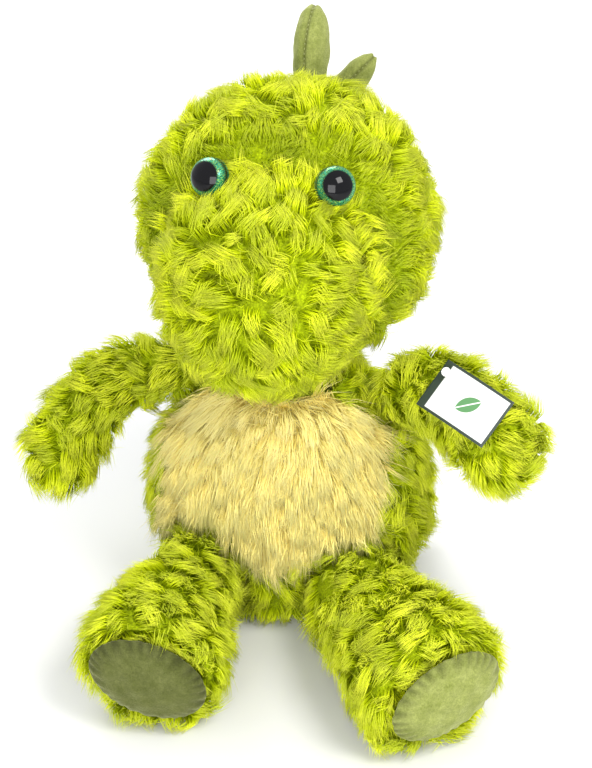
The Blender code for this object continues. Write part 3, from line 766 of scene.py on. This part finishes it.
def eye_place(side):
    """Centre of an eye's rim, the way it faces and its radius."""
    points = np.array([corner.co for corner in NODES[f"eye_lens_{side}"].data.vertices])
    centre = points.mean(0)
    _, axes = frame_of(f"eye_lens_{side}")
    facing = axes[2]
    if facing[1] > 0:
        facing = -facing
    along = (points - centre) @ facing
    rim = points[along < along.min() + 0.0012]
    middle = rim.mean(0)
    radius = np.linalg.norm((points - middle) - np.outer((points - middle) @ facing, facing),
                            axis=1).max()
    return middle, facing, radius, along.max() - along.min()


def sole_place(side):
    """Centre of a sole, its longer and shorter directions and the way it faces."""
    centre, axes = frame_of(f"sole_{side}")
    return centre, (axes[0], axes[1], axes[2] if axes[2][1] < 0 else -axes[2])


def clear_of(points, *forms):
    """One where a point lies outside the other backings, zero where it is buried in one."""
    kept = np.ones(len(points))
    for form in forms:
        tree = BVHTree.FromPolygons(*faces_of(bpy.data.objects[form].data))
        for index in np.flatnonzero(kept):
            point = Vector(points[index])
            near, facing, _, away = tree.find_nearest(point, 0.03)
            if near is not None and (point - near).dot(facing) < 0 and away > 0.005:
                kept[index] = 0.0
    return kept


class STUFFED_OT_forms(bpy.types.Operator):
    """Sews and stuffs the backing of every body"""

    bl_idname = "stuffed.forms"
    bl_label = "Backings"

    def execute(self, context):
        for body in FORM_SOLIDS:
            form_piece(body)
        return {"FINISHED"}


def on_muzzle(points):
    return far_from("muzzle_cover", points) < far_from("head_cover", points)


def behind_muzzle(points):
    """How near a place on the head's cover is to the muzzle's seam, from zero to one."""
    near = np.clip(1.35 - far_from("muzzle_cover", points) / 0.019, 0, 1)
    return np.where(far_from("head_cover", points) < far_from("muzzle_cover", points), near, 0.0)


def muzzle_rim(points):
    """How near a place on the muzzle is to its seam, from zero to one."""
    near = np.clip(1 - far_from("head_cover", points) / 0.014, 0, 1)
    return np.where(on_muzzle(points), near, 0.0)


class STUFFED_OT_head_pile(bpy.types.Operator):
    """Grows the swirled lime pile of the head and muzzle"""

    bl_idname = "stuffed.head_pile"
    bl_label = "Head pile"

    def execute(self, context):
        swirl = Waves(1, 0.055)
        low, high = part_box("muzzle_cover")
        nose = np.array([(low.x + high.x) / 2, low.y, (low.z + high.z) / 2 + 0.008])
        eyes = [eye_place(side) for side in ("left", "right")]
        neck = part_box("neck_filling")

        def flow(places, ups):
            reach = np.linalg.norm(places - nose, axis=1, keepdims=True)
            away = unit(places - nose) * np.clip(reach / 0.040, 0, 1)
            lay = 0.60 * away + np.array([0.0, 0.0, -0.35]) + swirl.at(places) * 0.62
            front = on_muzzle(places)[:, None]
            lay = np.where(front, lay + away * 0.35, lay)
            for middle, _, _, _ in eyes:
                gap = np.linalg.norm(places - middle, axis=1, keepdims=True)
                push = unit(places - middle) * np.clip((0.020 - gap) / 0.008, 0, 1) * 2.0
                lay += np.where(front, 0.0, push)
            return lay

        def keep(roots, normals):
            size = np.ones(len(roots))
            front = on_muzzle(roots)
            for middle, _, radius, _ in eyes:
                gap = np.linalg.norm(roots - middle, axis=1)
                size *= np.clip(np.where(front, (gap - radius * 0.74) / 0.004,
                                         (gap - radius * 0.94) / 0.006), 0, 1)
            under = (roots[:, 2] < neck[1].z) & (np.hypot(roots[:, 0], roots[:, 1]) < 0.024)
            size[under] = 0
            return size * (1 - 0.62 * behind_muzzle(roots)) * (1 + 0.15 * muzzle_rim(roots))

        # Painted shade darkens the head's strands just behind the muzzle's seam, and painted
        # highlight lightens the strands on the muzzle's rim.
        def dim(roots):
            return (1 - 0.97 * behind_muzzle(roots)) * (1 + 0.7 * muzzle_rim(roots))

        grow("head_pile", "head", flow, keep, 11, dim=dim)
        return {"FINISHED"}


class STUFFED_OT_body_pile(bpy.types.Operator):
    """Grows the lime pile of the sides and back and the cream pile of the belly"""

    bl_idname = "stuffed.body_pile"
    bl_label = "Body and belly pile"

    def execute(self, context):
        swirl, calm = Waves(2, 0.060), Waves(3, 0.080)
        low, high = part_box("belly_panel")
        middle_x = (low.x + high.x) / 2

        def hidden(points, normals):
            size, height = np.ones(len(points)), points[:, 2]
            out = np.hypot(points[:, 0], points[:, 1])
            size[(height > 0.116) & (out < 0.023)] = 0
            size[(height < 0.008) & (normals[:, 2] < -0.4)] = 0.5
            size[(height < 0.006) & (out < 0.034)] = 0
            return size

        def flow(places, ups):
            return np.array([0.0, 0.0, -1.0]) * 0.8 + swirl.at(places) * 0.75

        def keep(roots, normals):
            return hidden(roots, normals) * ~on_belly(roots)

        grow("body_pile", "torso", flow, keep, 12)

        def belly_flow(places, ups):
            fan = np.zeros_like(places)
            fan[:, 0] = (places[:, 0] - middle_x) * 2.0
            fan[:, 2] = -1.0
            return fan + calm.at(places) * 0.16

        def belly_keep(roots, normals):
            return hidden(roots, normals) * on_belly(roots)

        grow("belly_pile", "torso", belly_flow, belly_keep, 13, "belly", curl=0.07, jitter=0.12,
             gather=0.72, even=0.75)
        return {"FINISHED"}


class STUFFED_OT_neck_pile(bpy.types.Operator):
    """Grows the lime collar that fills the neck between head and body"""

    bl_idname = "stuffed.neck_pile"
    bl_label = "Neck pile"

    def execute(self, context):
        swirl = Waves(4, 0.030)
        low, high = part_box("neck_filling")
        middle = (low.z + high.z) / 2

        def flow(places, ups):
            fall = np.zeros_like(places)
            fall[:, 2] = -1.0
            return fall + swirl.at(places) * 0.35

        def keep(roots, normals):
            return np.where(roots[:, 2] > middle - 0.006, 1.25, 0.0)

        grow("neck_pile", "neck", flow, keep, 14)
        return {"FINISHED"}


class STUFFED_OT_limb_pile(bpy.types.Operator):
    """Grows the lime pile of the arms, legs and tail"""

    bl_idname = "stuffed.limb_pile"
    bl_label = "Limb pile"

    def execute(self, context):
        for index, body in enumerate(LIMB_BODIES):
            swirl = Waves(20 + index, 0.045)
            root = JOINTS[body]
            points = coords(bpy.data.objects[f"{body}_form"])
            far = points[np.argsort(np.linalg.norm(points - root, axis=1))[-60:]].mean(0)
            along = unit(far - root)
            fall = 0.45 if body.startswith("leg") else 0.25

            def flow(places, ups):
                return along * 0.8 + np.array([0, 0, -fall]) + swirl.at(places) * 0.6

            def keep(roots, normals):
                size = np.ones(len(roots))
                near_root = np.linalg.norm(roots - root, axis=1) < 0.045
                size[near_root] = clear_of(roots[near_root], "torso_form")
                if body.startswith("leg"):
                    centre, (longer, shorter, out) = sole_place(body[4:])
                    off = roots - centre
                    spread = np.hypot(off @ longer / 0.0285, off @ shorter / 0.0205)
                    depth = off @ out
                    size[(spread < 0.97) & (depth > -0.012)] = 0
                    near = (spread < 1.35) & (depth > -0.016) & (size > 0)
                    size[near] *= 0.90
                size[(roots[:, 2] < 0.005) & (normals[:, 2] < -0.5)] *= 0.5
                return size

            grow(f"{body}_pile", body, flow, keep, 31 + index)
        return {"FINISHED"}


# Painted shade: stores where the velour is darkened, in a seam's groove or a sole's puckered rim.
def seam_shade_layer(piece, values):
    layer = piece.data.attributes.new("seam", "FLOAT", "POINT")
    layer.data.foreach_set("value", np.asarray(values, np.float32))


class STUFFED_OT_soles(bpy.types.Operator):
    """Sews the velour soles with their puckered rims"""

    bl_idname = "stuffed.soles"
    bl_label = "Soles"

    def execute(self, context):
        for side in ("left", "right"):
            centre, (longer, shorter, out) = sole_place(side)
            piece = joined_solids(f"sole_{side}_pad", [f"sole_{side}"])
            remeshed(piece, 0.0011, smoothing=4)
            points, normals = coords(piece), coords(piece, "normal")
            off = points - centre
            u, v = off @ longer, off @ shorter
            wide, tall = np.abs(u).max(), np.abs(v).max()
            spread = np.hypot(u / wide, v / tall)
            angle = np.arctan2(v / tall, u / wide)
            pucker = np.sin(angle * 26 + 1.7 * np.sin(angle * 5)) * 0.5 + 0.5
            rim = np.clip((spread - 0.66) / 0.30, 0, 1) ** 1.5
            face = np.clip(normals @ out, 0, 1)
            dent = -0.0016 * rim * pucker + 0.0004 * np.sin(u * 420) * np.sin(v * 510) * (1 - rim)
            set_coords(piece, points + np.outer(dent * face, out))
            # Painted shade in the puckers of the rim, where the dent draws the velour in.
            seam_shade_layer(piece, np.clip((spread - 0.70) / 0.26, 0, 1) * (0.25 + 0.75 * pucker))
            # The right sole takes a much darker copy of the velour: painted shade on the sole that
            # is away from the key light, with part of the darkness from the nap brushed against.
            finish = ("olive_velour_against", 0.36) if side == "right" else ("olive_velour",)
            shaded_smooth(piece)
            sewn(piece, f"leg_{side}", velour_material(*finish), [f"sole_{side}"])
        return {"FINISHED"}


def stitch_run(name, path, outs, pitch):
    """Thread stitches along a line, each a small closed capsule sunk at both ends."""
    steps = np.linalg.norm(np.diff(path, axis=0), axis=1)
    length = np.concatenate([[0], np.cumsum(steps)])
    built = bmesh.new()

    def along_line(line, place):
        return np.array([np.interp(place, length, line[:, axis]) for axis in range(3)])

    for start in np.arange(pitch * 0.4, length[-1] - pitch, pitch):
        ends = [along_line(path, start + part * pitch) for part in (0.0, 0.36, 0.72)]
        out = unit(along_line(outs, start + pitch * 0.36))
        centres = [ends[0] - out * 0.0004, ends[1] + out * 0.0002, ends[2] - out * 0.0004]
        along = unit(ends[2] - ends[0])
        side = np.cross(along, out)
        rings = []
        for place, size in zip(centres, (0.55, 1.0, 0.55)):
            rings.append([built.verts.new(place + STITCH_RADIUS * size * (
                side * math.cos(turn) + out * math.sin(turn)))
                for turn in np.linspace(0, 2 * math.pi, 7)[:-1]])
        for low, high in zip(rings, rings[1:]):
            for k in range(6):
                built.faces.new((low[k], low[(k + 1) % 6], high[(k + 1) % 6], high[k]))
        built.faces.new(rings[0][::-1])
        built.faces.new(rings[-1])
    bmesh.ops.recalc_face_normals(built, faces=built.faces)
    return new_object(name, bpy.data.meshes.new(name), built)


class STUFFED_OT_spikes(bpy.types.Operator):
    """Sews the five velour spikes with a seam up the front and down the back"""

    bl_idname = "stuffed.spikes"
    bl_label = "Spikes"

    def execute(self, context):
        velour = settings("velour")
        for index, node in enumerate(SPIKES):
            body = f"spike_{index + 1}"
            piece = joined_solids(f"{node}_pad", [node, f"{node}_filling"])
            remeshed(piece, 0.0010, smoothing=5)
            points, normals = coords(piece), coords(piece, "normal")
            root = JOINTS[body]
            tip = points[np.argmax(np.linalg.norm(points - root, axis=1))]
            up = unit(tip - root)
            across = np.array([1.0, 0, 0])
            across = unit(across - up * up[0])
            off = points - root
            lift = np.clip(off @ up / np.linalg.norm(tip - root), 0, 1)
            offset = off @ across + 0.0010 * np.sin(lift * 4)
            groove = np.exp(-(offset / 0.00085) ** 2)
            rim = np.clip(1.4 - np.abs(normals @ across) * 1.6, 0, 1)
            pull = np.sin(off @ up * 2 * math.pi / velour.stitch_pitch) * 0.5 + 0.5
            near = np.exp(-(offset / 0.0026) ** 2)
            dent = groove * velour.seam_depth * rim + near * rim * 0.00022 * pull
            lump = 0.00035 * np.sin(off @ up * 330 + index) * np.sin(off[:, 1] * 410)
            set_coords(piece, points + normals * (lump - dent)[:, None])
            # Painted shade in the seam's groove.
            seam_shade_layer(piece, groove * rim * 0.9)
            shaded_smooth(piece)
            sewn(piece, body, velour_material("olive_velour"),
                 [node, f"{node}_filling"])

            tree = BVHTree.FromObject(piece, bpy.context.evaluated_depsgraph_get())
            front = unit(np.cross(up, across))
            for label, way in (("front", 1), ("back", -1)):
                path, outs = [], []
                side = front * way
                for share in np.linspace(0.16, 0.94, 40):
                    level = root + up * share * np.linalg.norm(tip - root)
                    level = level - across * 0.0010 * math.sin(share * 4)
                    hit = tree.ray_cast(Vector(level + side * 0.05), Vector(-side), 0.05)
                    if hit[0] is not None:
                        path.append(np.array(hit[0]))
                        outs.append(np.array(hit[1]))
                if len(path) < 6:
                    continue
                seam = stitch_run(f"{node}_stitches_{label}", np.array(path), np.array(outs),
                                  velour.stitch_pitch)
                shaded_smooth(seam)
                sewn(seam, body, thread_material("olive_thread"))
        return {"FINISHED"}


class STUFFED_OT_eyes(bpy.types.Operator):
    """Shapes the two domed lenses and gives the irises, posts and washers their finish"""

    bl_idname = "stuffed.eyes"
    bl_label = "Eyes"

    def execute(self, context):
        for side in ("left", "right"):
            node = f"eye_lens_{side}"
            middle, facing, radius, height = eye_place(side)
            bpy.ops.object.select_all(action="DESELECT")
            bpy.ops.mesh.primitive_uv_sphere_add(segments=64, ring_count=32, radius=1.0)
            piece = context.active_object
            piece.name = piece.data.name = f"{node}_dome"
            points = coords(piece)
            low = points[:, 2] < 0
            points[low, 2] *= 0.22
            points *= (radius, radius, height * 0.97)
            turn = Vector(facing).to_track_quat("Z", "Y").to_matrix()
            set_coords(piece, points @ np.array(turn).T + middle)
            shaded_smooth(piece)
            finish = eye_material(f"eye_gloss_{side}", tuple(middle), tuple(facing), float(radius))
            sewn(piece, "head", finish, [node])
        glitter = plain_material("iris_glitter", (0.02, 0.14, 0.08), (0.10, 0.45, 0.25), 0.3,
                                 900.0, Metallic=0.7)
        nylon = plain_material("nylon_black", (0.012, 0.012, 0.013), (0.03, 0.03, 0.03), 0.45,
                               300.0)
        for side in ("left", "right"):
            for kind, finish in (("iris", glitter), ("post", nylon), ("washer", nylon)):
                dress(f"eye_{kind}_{side}", finish)
        return {"FINISHED"}


def dress(node, material):
    """Gives a carried-over part its finish."""
    mesh = NODES[node].data
    mesh.materials.clear()
    mesh.materials.append(material)


class STUFFED_OT_tag(bpy.types.Operator):
    """Prints and bows the swing tag, and finishes its pin and the sewn-in label"""

    bl_idname = "stuffed.tag"
    bl_label = "Tag, pin and label"

    def execute(self, context):
        bow_height = settings("tag").bow
        points = np.array([corner.co for corner in NODES["tag_card"].data.vertices])
        longer, _, out = frame_of("tag_card")[1]
        out = -out if out[1] > 0 else out
        longer = -longer if longer[0] < 0 else longer
        shorter = np.cross(out, longer)
        middle, half = points.mean(0), []
        for axis in (longer, shorter):
            along = (points - points.mean(0)) @ axis
            middle = middle + axis * (along.min() + along.max()) / 2
            half.append((along.max() - along.min()) / 2)
        bpy.ops.object.select_all(action="DESELECT")
        bpy.ops.mesh.primitive_grid_add(x_subdivisions=28, y_subdivisions=20, size=2)
        piece = context.active_object
        piece.name = piece.data.name = "tag_card_print"
        flat = coords(piece)
        layer = piece.data.uv_layers[0] if piece.data.uv_layers else piece.data.uv_layers.new()
        layer.name = "card"
        corner_of = np.empty(len(piece.data.loops), np.int32)
        piece.data.loops.foreach_get("vertex_index", corner_of)
        layer.data.foreach_set(
            "uv", (flat[corner_of][:, :2] * 0.5 + 0.5).astype(np.float32).ravel())
        bow = bow_height * (1 - flat[:, 0] ** 2) - bow_height * 0.5
        set_coords(piece, middle + np.outer(flat[:, 0] * half[0], longer)
                   + np.outer(flat[:, 1] * half[1], shorter) + np.outer(bow, out))
        thick = piece.modifiers.new("card", "SOLIDIFY")
        thick.thickness, thick.offset = CARD_THICKNESS, 0.0
        edge = piece.modifiers.new("edge", "BEVEL")
        edge.width, edge.segments, edge.limit_method = 0.00018, 2, "ANGLE"
        apply_modifiers(piece)
        bpy.ops.object.mode_set(mode="EDIT")
        bpy.ops.mesh.select_all(action="SELECT")
        bpy.ops.mesh.normals_make_consistent(inside=False)
        bpy.ops.object.mode_set(mode="OBJECT")
        bpy.ops.object.shade_smooth_by_angle(angle=math.radians(35))
        sewn(piece, "tag", card_material(), ["tag_card"])
        dress("tag_pin", plain_material("nylon_clear", (0.75, 0.76, 0.74), (0.88, 0.89, 0.87),
                                        0.3, 400.0))
        dress("care_label", plain_material("satin_label", (0.78, 0.78, 0.76),
                                           (0.90, 0.90, 0.88), 0.4, 1200.0, Sheen_Weight=0.3))
        return {"FINISHED"}


class STUFFED_OT_stage(bpy.types.Operator):
    """Sets the floor, the soft lights and the camera"""

    bl_idname = "stuffed.stage"
    bl_label = "Stage"

    def execute(self, context):
        stage = settings("stage")
        scene = context.scene
        bpy.ops.object.select_all(action="DESELECT")
        bpy.ops.mesh.primitive_plane_add(size=30)
        floor = context.active_object
        floor.name = floor.data.name = "floor"
        material, net, place = blank_material("pale_floor", Specular_IOR_Level=0.1, Roughness=0.9)
        net.feed(Base_Color=net.mixed(
            net.noise(place, 3.0), (0.76, 0.76, 0.765), (0.78, 0.78, 0.785)))
        floor.data.materials.append(material)

        world = bpy.data.worlds.new("studio")
        world.use_nodes = True
        sky = world.node_tree.nodes["Background"].inputs
        sky["Color"].default_value, sky["Strength"].default_value = (0.97, 0.98, 1.0, 1), 0.82
        scene.world = world
        aim = Vector(stage.aim)
        for name, place, size, power, tint in (
            ("key", (0.75, -0.60, 1.10), 0.55, 13.5, (1.0, 0.985, 0.95)),
            ("front", (0.15, -1.35, 0.42), 0.8, 14.5, (1.0, 1.0, 1.0)),
            ("rim", (-0.50, 0.90, 0.90), 0.8, 12.0, (1.0, 1.0, 1.0)),
        ):
            light = bpy.data.lights.new(name, "AREA")
            light.shape, light.size, light.energy, light.color = "SQUARE", size, power, tint
            lamp = bpy.data.objects.new(name, light)
            scene.collection.objects.link(lamp)
            lamp.location = aim + Vector(place)
            lamp.rotation_euler = (-Vector(place)).to_track_quat("-Z", "Y").to_euler()

        back = Vector((math.sin(stage.azimuth) * math.cos(stage.elevation),
                       -math.cos(stage.azimuth) * math.cos(stage.elevation),
                       math.sin(stage.elevation)))
        camera = bpy.data.objects.new("camera", bpy.data.cameras.new("camera"))
        scene.collection.objects.link(camera)
        camera.data.lens, camera.data.sensor_width = stage.lens, 36
        camera.location = aim + back * stage.distance
        camera.rotation_euler = (-back).to_track_quat("-Z", "Y").to_euler()
        scene.camera = camera
        scene.view_settings.view_transform = "Standard"
        return {"FINISHED"}


class STUFFED_PT_panel(bpy.types.Panel):
    """Buttons for each step of the toy"""

    bl_label = "Stuffed Dinosaur"
    bl_idname = "STUFFED_PT_panel"
    bl_space_type = "VIEW_3D"
    bl_region_type = "UI"
    bl_category = "Stuffed Dinosaur"

    def draw(self, context):
        for operator in OPERATORS:
            self.layout.operator(operator.bl_idname)


OPERATORS = (STUFFED_OT_stage, STUFFED_OT_forms, STUFFED_OT_head_pile, STUFFED_OT_body_pile,
             STUFFED_OT_neck_pile, STUFFED_OT_limb_pile, STUFFED_OT_soles, STUFFED_OT_spikes,
             STUFFED_OT_eyes, STUFFED_OT_tag)
SETTINGS = {"cover": CoverSettings, "belly": BellySettings, "velour": VelourSettings,
            "eye": EyeSettings, "tag": TagSettings, "stage": StageSettings}


def register():
    for group in SETTINGS.values():
        bpy.utils.register_class(group)
    for name, group in SETTINGS.items():
        setattr(bpy.types.Scene, "stuffed_" + name, PointerProperty(type=group))
    for made in (*OPERATORS, STUFFED_PT_panel):
        bpy.utils.register_class(made)


def unregister():
    for made in (*OPERATORS, STUFFED_PT_panel):
        bpy.utils.unregister_class(made)
    for name, group in SETTINGS.items():
        delattr(bpy.types.Scene, "stuffed_" + name)
        bpy.utils.unregister_class(group)


def main():
    register()
    bpy.ops.stuffed.stage()
    bpy.ops.stuffed.forms()
    bpy.ops.stuffed.head_pile()
    bpy.ops.stuffed.body_pile()
    bpy.ops.stuffed.neck_pile()
    bpy.ops.stuffed.limb_pile()
    bpy.ops.stuffed.soles()
    bpy.ops.stuffed.spikes()
    bpy.ops.stuffed.eyes()
    bpy.ops.stuffed.tag()


if __name__ == "__main__":
    main()
